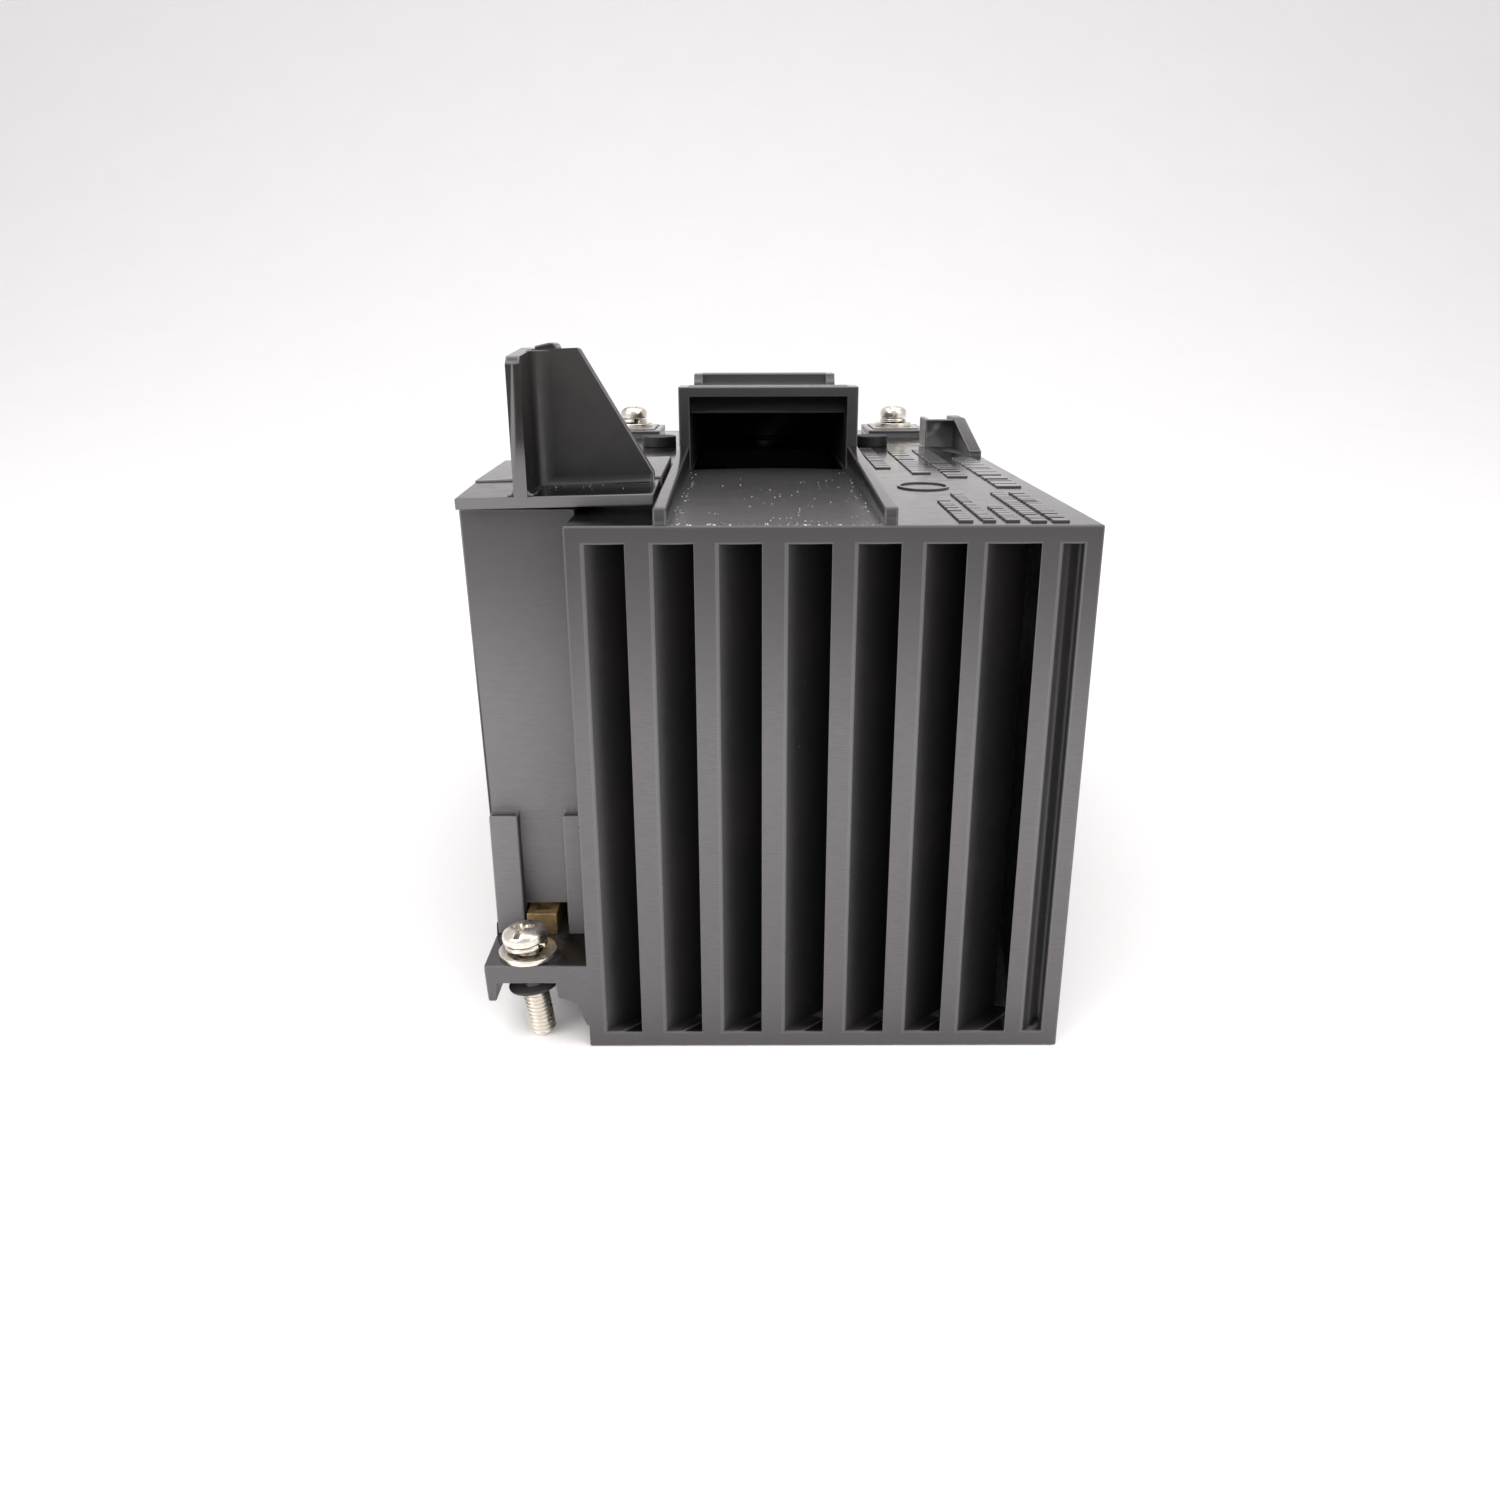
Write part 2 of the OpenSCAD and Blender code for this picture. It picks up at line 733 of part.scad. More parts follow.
module board_spacers() {
  color("gold") placed() for (y = [80, 160], z = [18, 56]) difference() {
    rod_x(y, z, left_x + wall, board_x, 2.8);
    rod_x(y, z, left_x + wall - 1, board_x + 1, 1.5);
  }
}

module board_screws() {
  color("silver") placed() for (y = [80, 160], z = [18, 56]) {
    rod_x(y, z, board_x + board_t, board_x + board_t + 1.8, 2.6);
    rod_x(y, z, left_x + 1, board_x + board_t + 1, 1.2);
  }
}

module snubber_capacitors() {
  color("steelblue") placed() for (y = [90, 112])
    block(board_x + board_t, board_x + board_t + 11, y, y + 18, 26, 48);
}

module snubber_resistors() {
  color("beige") placed() for (z = [26, 36, 46]) {
    rod_y(board_x + board_t + 4, z, 135, 148, 2.6);
    for (y = [134, 148]) block(board_x + board_t, board_x + board_t + 4.4, y, y + 1, z - 0.4, z + 0.4);
  }
}

module surge_varistor() {
  color("royalblue") placed() {
    rod_y(board_x + board_t + 8, 37, 152, 156.5, 7);
    for (z = [33.2, 40.8]) block(board_x + board_t, board_x + board_t + 5, 153.7, 154.7, z - 0.4, z + 0.4);
  }
}

main_housing();
duct_hood();
control_module_case();
front_cap();
rear_cap();
rear_cover();
rear_cover_screws();
base_plate();
base_screws();
blanking_plugs();
tie_screws();
control_contact_block();
control_contact_blade();
control_board();
optocoupler();
drive_transformer();
input_resistors();
gate_harness();
heat_sink();
thermal_pad();
module_base();
module_screws();
ceramic_insulator();
copper_pads();
thyristor_chips();
module_case();
module_lid();
line_busbar();
load_busbar();
terminal_nuts();
line_terminal_screw();
line_spring_washer();
line_flat_washer();
load_terminal_screw();
load_spring_washer();
load_flat_washer();
front_captive_screw();
front_spring_washer();
front_flat_washer();
front_retaining_washer();
rear_captive_screw();
rear_spring_washer();
rear_flat_washer();
rear_retaining_washer();
snubber_board();
snubber_capacitors();
snubber_resistors();
surge_varistor();
board_spacers();
board_screws();
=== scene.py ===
import json
import math
import random

import bmesh
import bpy
from mathutils import Matrix, Vector


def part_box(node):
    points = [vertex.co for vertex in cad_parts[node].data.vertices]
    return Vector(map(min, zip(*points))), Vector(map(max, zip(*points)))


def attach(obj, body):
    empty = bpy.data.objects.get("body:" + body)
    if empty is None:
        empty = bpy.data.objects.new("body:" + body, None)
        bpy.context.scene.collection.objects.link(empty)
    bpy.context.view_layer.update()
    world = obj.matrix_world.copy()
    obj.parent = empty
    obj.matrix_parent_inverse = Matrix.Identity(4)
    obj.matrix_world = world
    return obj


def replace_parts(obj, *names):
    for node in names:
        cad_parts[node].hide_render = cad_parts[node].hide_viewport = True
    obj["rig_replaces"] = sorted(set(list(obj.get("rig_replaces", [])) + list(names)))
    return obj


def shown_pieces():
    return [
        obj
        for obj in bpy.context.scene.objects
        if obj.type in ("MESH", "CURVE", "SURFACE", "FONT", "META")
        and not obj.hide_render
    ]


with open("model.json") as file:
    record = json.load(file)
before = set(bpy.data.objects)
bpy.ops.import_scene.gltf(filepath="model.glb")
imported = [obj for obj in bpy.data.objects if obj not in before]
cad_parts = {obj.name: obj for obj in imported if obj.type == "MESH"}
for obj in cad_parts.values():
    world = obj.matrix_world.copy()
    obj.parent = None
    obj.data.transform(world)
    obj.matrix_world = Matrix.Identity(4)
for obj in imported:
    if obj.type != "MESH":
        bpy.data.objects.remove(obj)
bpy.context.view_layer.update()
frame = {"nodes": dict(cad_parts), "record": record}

MM = 0.001
FRONT_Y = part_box("main_housing")[0].y
FRONT_MM = FRONT_Y / MM
AXIS_X = 0.7
SCREW_LEAN = math.radians(6.5)
PLATE_Z = 95.9
SHARP = math.radians(16)
BODY_OF = {n: b for b, ns in frame["record"]["behaviour"]["bodies"].items() for n in ns}
SLOT_OF = {s["node"]: s["material_slot"] for s in frame["record"]["subparts"]}


def at(x, y, z):
    """A point given in millimetres, with y counted from the slotted end."""
    return Vector((x * MM, FRONT_Y + y * MM, z * MM))


# ---------------------------------------------------------------- node helpers


class Graph:
    """A Principled material under construction."""

    def __init__(self, name):
        self.mat = bpy.data.materials.new(name)
        self.mat.use_nodes = True
        self.tree = self.mat.node_tree
        self.tree.nodes.clear()
        self.out = self.tree.nodes.new("ShaderNodeOutputMaterial")
        self.bsdf = self.tree.nodes.new("ShaderNodeBsdfPrincipled")
        self.tree.links.new(self.bsdf.outputs[0], self.out.inputs[0])
        coord = self.tree.nodes.new("ShaderNodeTexCoord")
        self.mm = self.vec("SCALE", coord.outputs["Object"], scale=1000.0)
        self.normal = self.split(coord.outputs["Normal"])
        self.place = self.split(self.mm)

    def node(self, kind, inputs=(), **props):
        n = self.tree.nodes.new("ShaderNode" + kind)
        for k, v in props.items():
            setattr(n, k, v)
        for k, v in dict(inputs).items():
            if isinstance(v, bpy.types.NodeSocket):
                self.tree.links.new(v, n.inputs[k])
            else:
                n.inputs[k].default_value = v
        return n

    def vec(self, op, a, b=None, scale=None):
        ins = {0: a}
        if b is not None:
            ins[1] = b
        if scale is not None:
            ins["Scale"] = scale
        return self.node("VectorMath", ins, operation=op).outputs[0]

    def split(self, v):
        return self.node("SeparateXYZ", {0: v}).outputs

    def calc(self, op, a, b=0.0, clamp=False):
        return self.node("Math", {0: a, 1: b}, operation=op, use_clamp=clamp).outputs[0]

    def noise(self, scale, detail=3.0, rough=0.5, vec=None, distort=0.0):
        return self.node("TexNoise", {"Vector": vec or self.mm, "Scale": scale, "Detail": detail,
                                      "Roughness": rough, "Distortion": distort}).outputs["Fac"]

    def stretched(self, angles, scale, detail=3.0, rough=0.6):
        """Noise drawn out into streaks: the coordinates are turned, then scaled unevenly."""
        m = self.node("Mapping", {"Vector": self.mm, "Rotation": [math.radians(a) for a in angles],
                                  "Scale": scale}, vector_type="POINT")
        return self.noise(1.0, detail, rough, m.outputs[0])

    def span(self, v, lo, hi, to_lo=0.0, to_hi=1.0, smooth=True):
        return self.node("MapRange", {"Value": v, "From Min": lo, "From Max": hi, "To Min": to_lo, "To Max": to_hi},
                         interpolation_type="SMOOTHSTEP" if smooth else "LINEAR").outputs[0]

    def mix(self, fac, a, b, blend="MIX"):
        ins = {"Fac": fac}
        for key, v in (("Color1", a), ("Color2", b)):
            ins[key] = v if isinstance(v, bpy.types.NodeSocket) else (*v, 1.0)
        return self.node("MixRGB", ins, blend_type=blend).outputs[0]

    def specks(self, size, share, radius):
        """Small round grains: one in each cell of that size, kept in that share of the cells."""
        v = self.node("TexVoronoi", {"Vector": self.mm, "Scale": 1.0 / size, "Randomness": 1.0})
        pick = self.node("SeparateColor", {0: v.outputs["Color"]}).outputs
        big = self.calc("MULTIPLY_ADD", pick[1], radius)
        big.node.inputs[2].default_value = radius * 0.35
        near = self.calc("LESS_THAN", v.outputs["Distance"], big)
        return self.calc("MULTIPLY", near, self.calc("LESS_THAN", pick[0], share))

    def set(self, **values):
        for k, v in values.items():
            s = self.bsdf.inputs[k.replace("_", " ")]
            if isinstance(v, bpy.types.NodeSocket):
                self.tree.links.new(v, s)
            elif k == "Base_Color":
                s.default_value = (*v, 1.0)
            else:
                s.default_value = v

    def bump(self, height, depth_mm):
        b = self.node("Bump", {"Height": height, "Distance": depth_mm * MM, "Strength": 1.0})
        self.tree.links.new(b.outputs[0], self.bsdf.inputs["Normal"])


# ---------------------------------------------------------------- materials


def moulded(name, deep, warm, rough, bare=((0.058, 0.055, 0.057), (0.094, 0.088, 0.092)), sanded_to=1.5,
            gloss=0.13, lip=0.0, foot_shade=0.35, edge=None, dusty=1.0, grain=0.02, height_shade=0.0):
    """Black moulded plastic: deep smooth walls, linished front faces, glossy tops, dust and fine scratches, plus
    painted light and shade: lighter slot mouths, front faces darker towards top and foot, optional painted shade low
    down, and lighter edges (rubbed wear with a painted highlight).
    """
    g = Graph(name)
    broad = g.noise(0.045, 4.0, 0.55)
    mid = g.noise(0.4, 4.0, 0.6)
    fine = g.noise(7.0, 2.0, 0.5)
    front = g.calc("MULTIPLY", g.span(g.normal[1], -0.8, -0.97),
                   g.span(g.place[1], FRONT_MM + sanded_to + 0.6, FRONT_MM + sanded_to))
    up = g.span(g.normal[2], 0.75, 0.97)
    channel = g.calc("MULTIPLY", g.span(g.calc("ABSOLUTE", g.calc("SUBTRACT", g.place[0], AXIS_X)), 17.7, 17.2), up)
    colour = g.mix(g.span(broad, 0.35, 0.65), deep, warm)
    colour = g.mix(g.span(mid, 0.3, 0.75, 0.0, 0.35), colour, [c * 0.72 for c in deep])
    colour = g.mix(g.calc("MULTIPLY", channel, 0.55), colour, (0.062, 0.060, 0.064))
    ear = g.calc("MULTIPLY", up, g.span(g.place[2], 19.0, 17.5))
    colour = g.mix(g.calc("MULTIPLY", ear, 0.55), colour, (0.062, 0.060, 0.062))
    # Painted shade: faces are darkened near z = 98 mm, fading out by z = 123 mm.
    if height_shade:
        colour = g.mix(g.span(g.place[2], 98.0, 123.0, height_shade, 0.0), colour, [c * 0.2 for c in deep])
    # Painted light: walls within 3.2 mm of the slotted end are lightened, so the slots look darker further in.
    if lip:
        near = g.calc("POWER", g.span(g.place[1], FRONT_MM + 3.2, FRONT_MM, smooth=False), 2.6)
        near = g.calc("MULTIPLY", near, g.calc("MULTIPLY", g.calc("SUBTRACT", 1.0, up), lip))
        colour = g.mix(near, colour, (0.070, 0.068, 0.072))
    height = g.calc("MULTIPLY", fine, 0.35)
    scratch = g.span(g.stretched((0, 0, 12), (0.25, 9.0, 9.0), 4.0, 0.7), 0.62, 0.74)
    scratch = g.calc("MULTIPLY", scratch, g.calc("MULTIPLY", up, g.span(broad, 0.4, 0.6)))
    colour = g.mix(g.calc("MULTIPLY", scratch, 0.3), colour, (0.12, 0.118, 0.12))
    streak = g.stretched((0, 38, 0), (0.45, 1.0, 8.0), 5.0, 0.72)
    cross = g.stretched((0, -50, 0), (0.5, 1.0, 6.0), 3.0, 0.6)
    lines = g.calc("ADD", g.calc("MULTIPLY", streak, 0.75), g.calc("MULTIPLY", cross, 0.25))
    sanded = g.mix(g.span(lines, 0.3, 0.7), *bare)
    sanded = g.mix(g.span(broad, 0.3, 0.7, 0.0, 0.4), sanded, [c * 0.82 for c in bare[1]])
    # Painted shade: the lowest 10 mm of the linished front faces are darkened and warmed.
    sanded = g.mix(g.calc("MULTIPLY", g.span(g.place[2], 10.0, 0.0), foot_shade), sanded,
                   [bare[0][0] * 0.75, bare[0][1] * 0.68, bare[0][2] * 0.66])
    # Painted light and shade: linished front faces stay brightest at mid height and are painted darker towards the top,
    # down to about a third near z = 99 mm, and towards the foot.
    front_light_falloff = g.calc("MULTIPLY", g.span(g.place[2], 99.0, 58.0), g.span(g.place[2], -4.0, 18.0, 0.55, 1.0))
    sanded = g.mix(front_light_falloff, [c * 0.36 for c in bare[1]], sanded)
    colour = g.mix(front, colour, sanded)
    base = g.span(mid, 0.25, 0.8, rough - 0.06, rough + 0.07)
    base = g.calc("ADD", base, g.calc("MULTIPLY", front, 0.14))
    top = g.span(mid, 0.25, 0.8, gloss - 0.03, gloss + 0.05)
    top = g.calc("ADD", top, g.calc("ADD", g.calc("MULTIPLY", channel, 0.2), g.calc("MULTIPLY", scratch, 0.2)))
    blend = g.node("Mix", {0: up, 2: base, 3: top}, data_type="FLOAT")
    roughness = blend.outputs[0]
    height = g.calc("ADD", height, g.calc("MULTIPLY", g.calc("MULTIPLY", lines, front), 0.9))
    height = g.calc("MULTIPLY", height, g.calc("SUBTRACT", 1.0, g.calc("MULTIPLY", up, 0.93)))
    # Rounded edges get a lighter tone: rubbed wear together with a painted highlight.
    if edge:
        colour = g.mix(0.6, colour, edge)
    if dusty:
        grains = g.specks(1.5, 0.16 * dusty, 0.055)
        crumbs = g.specks(5.0, 0.22 * dusty, 0.035)
        settled = g.calc("ADD", g.calc("MULTIPLY", g.calc("MAXIMUM", channel, g.calc("MULTIPLY", up, 0.35)), 0.9), 0.22)
        patch = g.span(g.noise(0.16, 2.0), 0.42, 0.62)
        dots = g.calc("MAXIMUM", g.calc("MULTIPLY", grains, patch), crumbs)
        dots = g.calc("MULTIPLY", dots, settled)
        colour = g.mix(g.calc("MULTIPLY", dots, 0.8), colour, (0.50, 0.48, 0.43))
        height = g.calc("ADD", height, g.calc("MULTIPLY", dots, 0.4))
    g.set(Base_Color=colour, Roughness=roughness, IOR=1.54, Specular_IOR_Level=0.5)
    g.bump(height, grain)
    return g.mat


def metal(name, bright, dull, rough, metallic=1.0, tarnish=0.3, lines=0.3, grain=0.012):
    """Plated or bare metal with fine turning lines, tarnish and smudges."""
    g = Graph(name)
    stain = g.noise(0.9, 5.0, 0.65)
    fine = g.noise(9.0, 3.0, 0.6)
    turned = g.stretched((0, 0, 0), (0.7, 0.7, 14.0), 2.0, 0.5)
    colour = g.mix(g.span(stain, 0.45, 0.75, 0.0, tarnish), bright, dull)
    colour = g.mix(g.span(fine, 0.55, 0.8, 0.0, 0.35), colour, [c * 0.7 for c in dull])
    smudge = g.span(g.noise(0.5, 3.0), 0.3, 0.7, rough - 0.05, rough + 0.09)
    height = g.calc("ADD", g.calc("MULTIPLY", turned, lines), g.calc("MULTIPLY", fine, 0.4))
    g.set(Base_Color=colour, Roughness=smudge, Metallic=metallic)
    g.bump(height, grain)
    return g.mat


def coated(name, tone, second, rough, pattern=0.8, grain=0.01, coat=0.0):
    """Board, tape, coating, pad or ceramic: two tones, a fine grain and an uneven gloss."""
    g = Graph(name)
    colour = g.mix(g.span(g.noise(pattern, 4.0, 0.6), 0.35, 0.7), tone, second)
    colour = g.mix(g.span(g.noise(6.0, 2.0), 0.6, 0.8, 0.0, 0.3), colour, [c * 0.6 for c in tone])
    g.set(Base_Color=colour, Roughness=g.span(g.noise(0.7, 3.0), 0.3, 0.7, rough - 0.06, rough + 0.08),
          Coat_Weight=coat)
    g.bump(g.noise(8.0, 3.0, 0.6), grain)
    return g.mat


DEEP = (0.0085, 0.0085, 0.0095)
DEEP_WARM = (0.012, 0.0105, 0.0105)
MATERIALS = {
    "black_moulding": moulded("black_moulding", DEEP, DEEP_WARM, 0.34, lip=0.34),
    "satin_moulding": moulded("satin_moulding", (0.030, 0.028, 0.029), (0.040, 0.035, 0.034), 0.4,
                              ((0.098, 0.093, 0.096), (0.135, 0.129, 0.133)), 60.0, gloss=0.16, foot_shade=0.0, dusty=0.5),
    "nickel_steel": metal("nickel_steel", (0.83, 0.79, 0.71), (0.52, 0.47, 0.40), 0.27),
    "black_rubber": moulded("black_rubber", (0.014, 0.014, 0.016), (0.020, 0.019, 0.020), 0.45,
                            ((0.016, 0.016, 0.018), (0.022, 0.022, 0.024)), 0.0, gloss=0.62, foot_shade=0.0, grain=0.01),
    "dull_brass": metal("dull_brass", (0.40, 0.28, 0.13), (0.17, 0.11, 0.06), 0.42, 0.75, 0.8, 0.2, 0.02),
    "tinned_copper": metal("tinned_copper", (0.66, 0.64, 0.61), (0.40, 0.38, 0.36), 0.34, tarnish=0.5),
    "copper": metal("copper", (0.76, 0.44, 0.31), (0.42, 0.22, 0.15), 0.3, tarnish=0.5),
    "aluminium_plate": metal("aluminium_plate", (0.62, 0.62, 0.63), (0.40, 0.40, 0.41), 0.38, tarnish=0.4),
    "aluminium_extrusion": metal("aluminium_extrusion", (0.060, 0.060, 0.064), (0.035, 0.035, 0.038), 0.45,
                                 0.6, 0.5, 0.8, 0.02),
    "circuit_board": coated("circuit_board", (0.015, 0.11, 0.04), (0.02, 0.15, 0.055), 0.35, 1.2, coat=0.3),
    "black_epoxy": coated("black_epoxy", (0.022, 0.022, 0.024), (0.034, 0.033, 0.034), 0.5, 1.5, 0.03),
    "yellow_tape": coated("yellow_tape", (0.66, 0.46, 0.06), (0.74, 0.55, 0.12), 0.4, 0.4),
    "resistor_body": coated("resistor_body", (0.52, 0.44, 0.30), (0.60, 0.52, 0.38), 0.45, 1.0, 0.02),
    "red_insulation": coated("red_insulation", (0.42, 0.03, 0.02), (0.50, 0.05, 0.03), 0.45),
    "grey_pad": coated("grey_pad", (0.36, 0.37, 0.39), (0.44, 0.45, 0.46), 0.7, 0.5, 0.03),
    "white_ceramic": coated("white_ceramic", (0.80, 0.80, 0.77), (0.86, 0.86, 0.84), 0.4, 0.3),
    "silicon": coated("silicon", (0.14, 0.15, 0.19), (0.18, 0.19, 0.24), 0.2, 0.2),
    "blue_box": coated("blue_box", (0.03, 0.12, 0.34), (0.04, 0.15, 0.40), 0.35, 0.3, coat=0.2),
    "blue_coating": coated("blue_coating", (0.03, 0.09, 0.36), (0.04, 0.12, 0.42), 0.3, 0.5, 0.03, coat=0.4),
}
# Lighter tones for the rounded edge faces: rubbed wear together with a painted highlight.
EDGE = {
    "black_moulding": moulded("black_moulding_edge", (0.045, 0.044, 0.047), (0.052, 0.049, 0.050), 0.32,
                              edge=(0.095, 0.092, 0.096), dusty=0.6),
    "satin_moulding": moulded("satin_moulding_edge", (0.060, 0.057, 0.059), (0.072, 0.066, 0.065), 0.34,
                              edge=(0.16, 0.157, 0.163), foot_shade=0.0, dusty=0.5),
}
# The caps are smooth and dark where they weren't linished, with painted shade darkening them towards their foot; their
# linished tone is set light because the painted top shade takes it down to about a third
CAP = moulded("cap_moulding", (0.016, 0.0135, 0.0135), (0.024, 0.019, 0.0185), 0.42,
              ((0.28, 0.272, 0.284), (0.36, 0.35, 0.366)), 13.5, gloss=0.15, foot_shade=0.0, dusty=0.5, height_shade=0.9)
# The hood's inside is evenly dark grey
HOOD = moulded("hood_moulding", (0.027, 0.0262, 0.0275), (0.034, 0.0325, 0.0335), 0.34)
LOOK = {"front_cap": CAP, "rear_cap": CAP, "duct_hood": HOOD}
THREAD = metal("rolled_thread", (0.86, 0.82, 0.74), (0.66, 0.60, 0.50), 0.3, grain=0.0)


# ---------------------------------------------------------------- mesh helpers


def add_object(name, mesh, materials):
    o = bpy.data.objects.new(name, mesh)
    bpy.context.scene.collection.objects.link(o)
    for m in materials:
        mesh.materials.append(m)
    return o


def settle(o, node, replace=True):
    """The piece rides with the node's body and, if asked, stands for it."""
    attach(o, BODY_OF[node])
    if replace:
        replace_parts(o, node)
    return o


def finish_mesh(o):
    for p in o.data.polygons:
        p.use_smooth = True
    m = o.modifiers.new("normals", "WEIGHTED_NORMAL")
    m.mode = "FACE_AREA_WITH_ANGLE"
    m.thresh = 0.001


def weigh_edges(bm, width, angle):
    """Bevel weights: full on sharp outward edges, less where a short neighbour leaves no room."""
    layer = bm.edges.layers.float.new("bevel_weight_edge")
    for e in bm.edges:
        if len(e.link_faces) != 2 or not e.is_convex or e.calc_face_angle(0.0) < angle:
            continue
        room = min((n.calc_length() for v in e.verts for n in v.link_edges
                    if n is not e and n.calc_face_angle(0.0) >= angle), default=1.0)
        e[layer] = min(1.0, 0.42 * room / width)


def refined(node, width):
    """A clean copy of a CAD node's faces with its outward edges rounded, kept inside the node's box."""
    slot = SLOT_OF[node]
    bm = bmesh.new()
    bm.from_mesh(frame["nodes"][node].data)
    bmesh.ops.remove_doubles(bm, verts=bm.verts, dist=2e-6)
    bmesh.ops.join_triangles(bm, faces=bm.faces, angle_face_threshold=0.005, angle_shape_threshold=3.14)
    weigh_edges(bm, width * MM, SHARP)
    mesh = bpy.data.meshes.new(node + "_skin")
    bm.to_mesh(mesh)
    bm.free()
    face, edge = LOOK.get(node, MATERIALS[slot]), EDGE.get(slot, MATERIALS[slot])
    o = add_object(node + "_skin", mesh, [face, edge])
    for p in mesh.polygons:
        p.material_index = 0
    b = o.modifiers.new("edges", "BEVEL")
    b.limit_method = "WEIGHT"
    b.width = width * MM
    b.segments = 2
    b.use_clamp_overlap = False
    b.material = 1 if slot in EDGE else -1
    apply_all(o)
    lo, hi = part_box(node)
    for v in o.data.vertices:
        v.co = [min(max(c, a), b) for c, a, b in zip(v.co, lo, hi)]
    finish_mesh(o)
    return settle(o, node)


def blobs(name, places, seed):
    """Irregular grains, one at each (point, radius in millimetres)."""
    rnd = random.Random(seed)
    bm = bmesh.new()
    for p, r in places:
        angle = rnd.uniform(0, 6.28)
        axis = Vector((rnd.gauss(0, 1), rnd.gauss(0, 1), rnd.gauss(0, 1))).normalized()
        turn = Matrix.Rotation(angle, 4, axis)
        size = Matrix.Diagonal((r * MM * rnd.uniform(0.9, 2.2), r * MM * rnd.uniform(0.6, 1.0),
                                r * MM * rnd.uniform(0.6, 1.0), 1))
        bmesh.ops.create_icosphere(bm, subdivisions=1, radius=1.0, matrix=Matrix.Translation(p) @ turn @ size)
    mesh = bpy.data.meshes.new(name)
    bm.to_mesh(mesh)
    bm.free()
    return mesh


def grid_mesh(name, rows):
    """A closed skin through rows of points; each row is a closed ring."""
    bm = bmesh.new()
    rings = [[bm.verts.new(p) for p in row] for row in rows]
    count = len(rings[0])
    for a, b in zip(rings, rings[1:]):
        for i in range(count):
            j = (i + 1) % count
            bm.faces.new((a[i], a[j], b[j], b[i]))
    bm.faces.new(list(reversed(rings[0])))
    bm.faces.new(rings[-1])
    bmesh.ops.recalc_face_normals(bm, faces=bm.faces)
    mesh = bpy.data.meshes.new(name)
    bm.to_mesh(mesh)
    bm.free()
    return mesh


def spun(name, profile, steps=64):
    """A ring or disc turned about Z from (radius, height) pairs in millimetres; r = 0 closes it."""
    bm = bmesh.new()
    verts = [bm.verts.new((r * MM, 0, z * MM)) for r, z in profile]
    edges = [bm.edges.new(pair) for pair in zip(verts, verts[1:] + verts[:1])]
    bmesh.ops.spin(bm, geom=verts + edges, axis=(0, 0, 1), cent=(0, 0, 0), angle=2 * math.pi, steps=steps)
    bmesh.ops.remove_doubles(bm, verts=bm.verts, dist=1e-7)
    bmesh.ops.recalc_face_normals(bm, faces=bm.faces)
    mesh = bpy.data.meshes.new(name)
    bm.to_mesh(mesh)
    bm.free()
    return mesh


# ---------------------------------------------------------------- screws and washers

WASHER_R, WASHER_T, SPRING_T = 5.35, 1.0, 1.3
RETAINER_LIFT = -6.4
TERMINAL_NECK, TERMINAL_THREAD = 2.0, 10.0
CAPTIVE_NECK, CAPTIVE_THREAD = 9.65, 9.85
STACK = WASHER_T + SPRING_T + 0.1
LEAN_GAP = WASHER_R * math.sin(SCREW_LEAN)
# Thread, root, pitch, neck, head radius and height, spring washer's bore and outside, flat washer's bore
M5 = dict(thread=2.46, root=2.0, pitch=0.8, neck=1.95, head=4.15, high=2.7, bore=2.6, spring=3.95, flat=2.75)
M4 = dict(thread=1.96, root=1.55, pitch=0.7, neck=1.6, head=3.85, high=3.3, bore=2.2, spring=3.8, flat=2.2)


def thread_mesh(name, size, neck, length):
    """Neck and rolled thread below the head: the radius follows a blunt V along the helix."""
    steps, per_turn = 48, 16
    tip = -neck - length
    rows = [[(size["neck"] * MM * math.cos(a), size["neck"] * MM * math.sin(a), z * MM) for a in turn_angles(steps)]
            for z in (0.4, -neck)]
    count = int(length / size["pitch"] * per_turn)
    for k in range(count + 1):
        z = -neck - length * k / count
        ring = []
        for a in turn_angles(steps):
            f = ((z + size["pitch"] * a / (2 * math.pi)) / size["pitch"]) % 1.0
            crest = min(1.0, max(0.0, (0.43 - abs(f - 0.5)) / 0.33))
            r = size["root"] + (size["thread"] - size["root"]) * crest
            r = min(r, size["neck"] + (-neck - z) * 1.6 + 0.02, size["root"] * 0.86 + (z - tip) * 0.9)
            ring.append((r * MM * math.cos(a), r * MM * math.sin(a), z * MM))
        rows.append(ring)
    return grid_mesh(name, rows)


def turn_angles(steps):
    return [2 * math.pi * i / steps for i in range(steps)]


def cutter_object(name, build):
    bm = bmesh.new()
    build(bm)
    mesh = bpy.data.meshes.new(name)
    bm.to_mesh(mesh)
    bm.free()
    o = bpy.data.objects.new(name, mesh)
    bpy.context.scene.collection.objects.link(o)
    o.hide_render = True
    o.hide_viewport = True
    return o


def tapered_bar(bm, length, width, z0, z1, shrink, turn=0.0):
    """A bar whose lower end is smaller, turned about Z."""
    pts = []
    for z, k in ((z0, shrink), (z1, 1.0)):
        for sx, sy in ((-1, -1), (1, -1), (1, 1), (-1, 1)):
            corner = Vector((sx * length * k * MM / 2, sy * width * k * MM / 2, z * MM))
            pts.append(bm.verts.new(Matrix.Rotation(turn, 3, "Z") @ corner))
    for f in ((3, 2, 1, 0), (4, 5, 6, 7), (0, 1, 5, 4), (1, 2, 6, 5), (2, 3, 7, 6), (3, 0, 4, 7)):
        bm.faces.new([pts[i] for i in f])


def apply_all(o):
    """Bakes the modifiers into the mesh."""
    dg = bpy.context.evaluated_depsgraph_get()
    mesh = bpy.data.meshes.new_from_object(o.evaluated_get(dg), depsgraph=dg)
    o.modifiers.clear()
    o.data = mesh


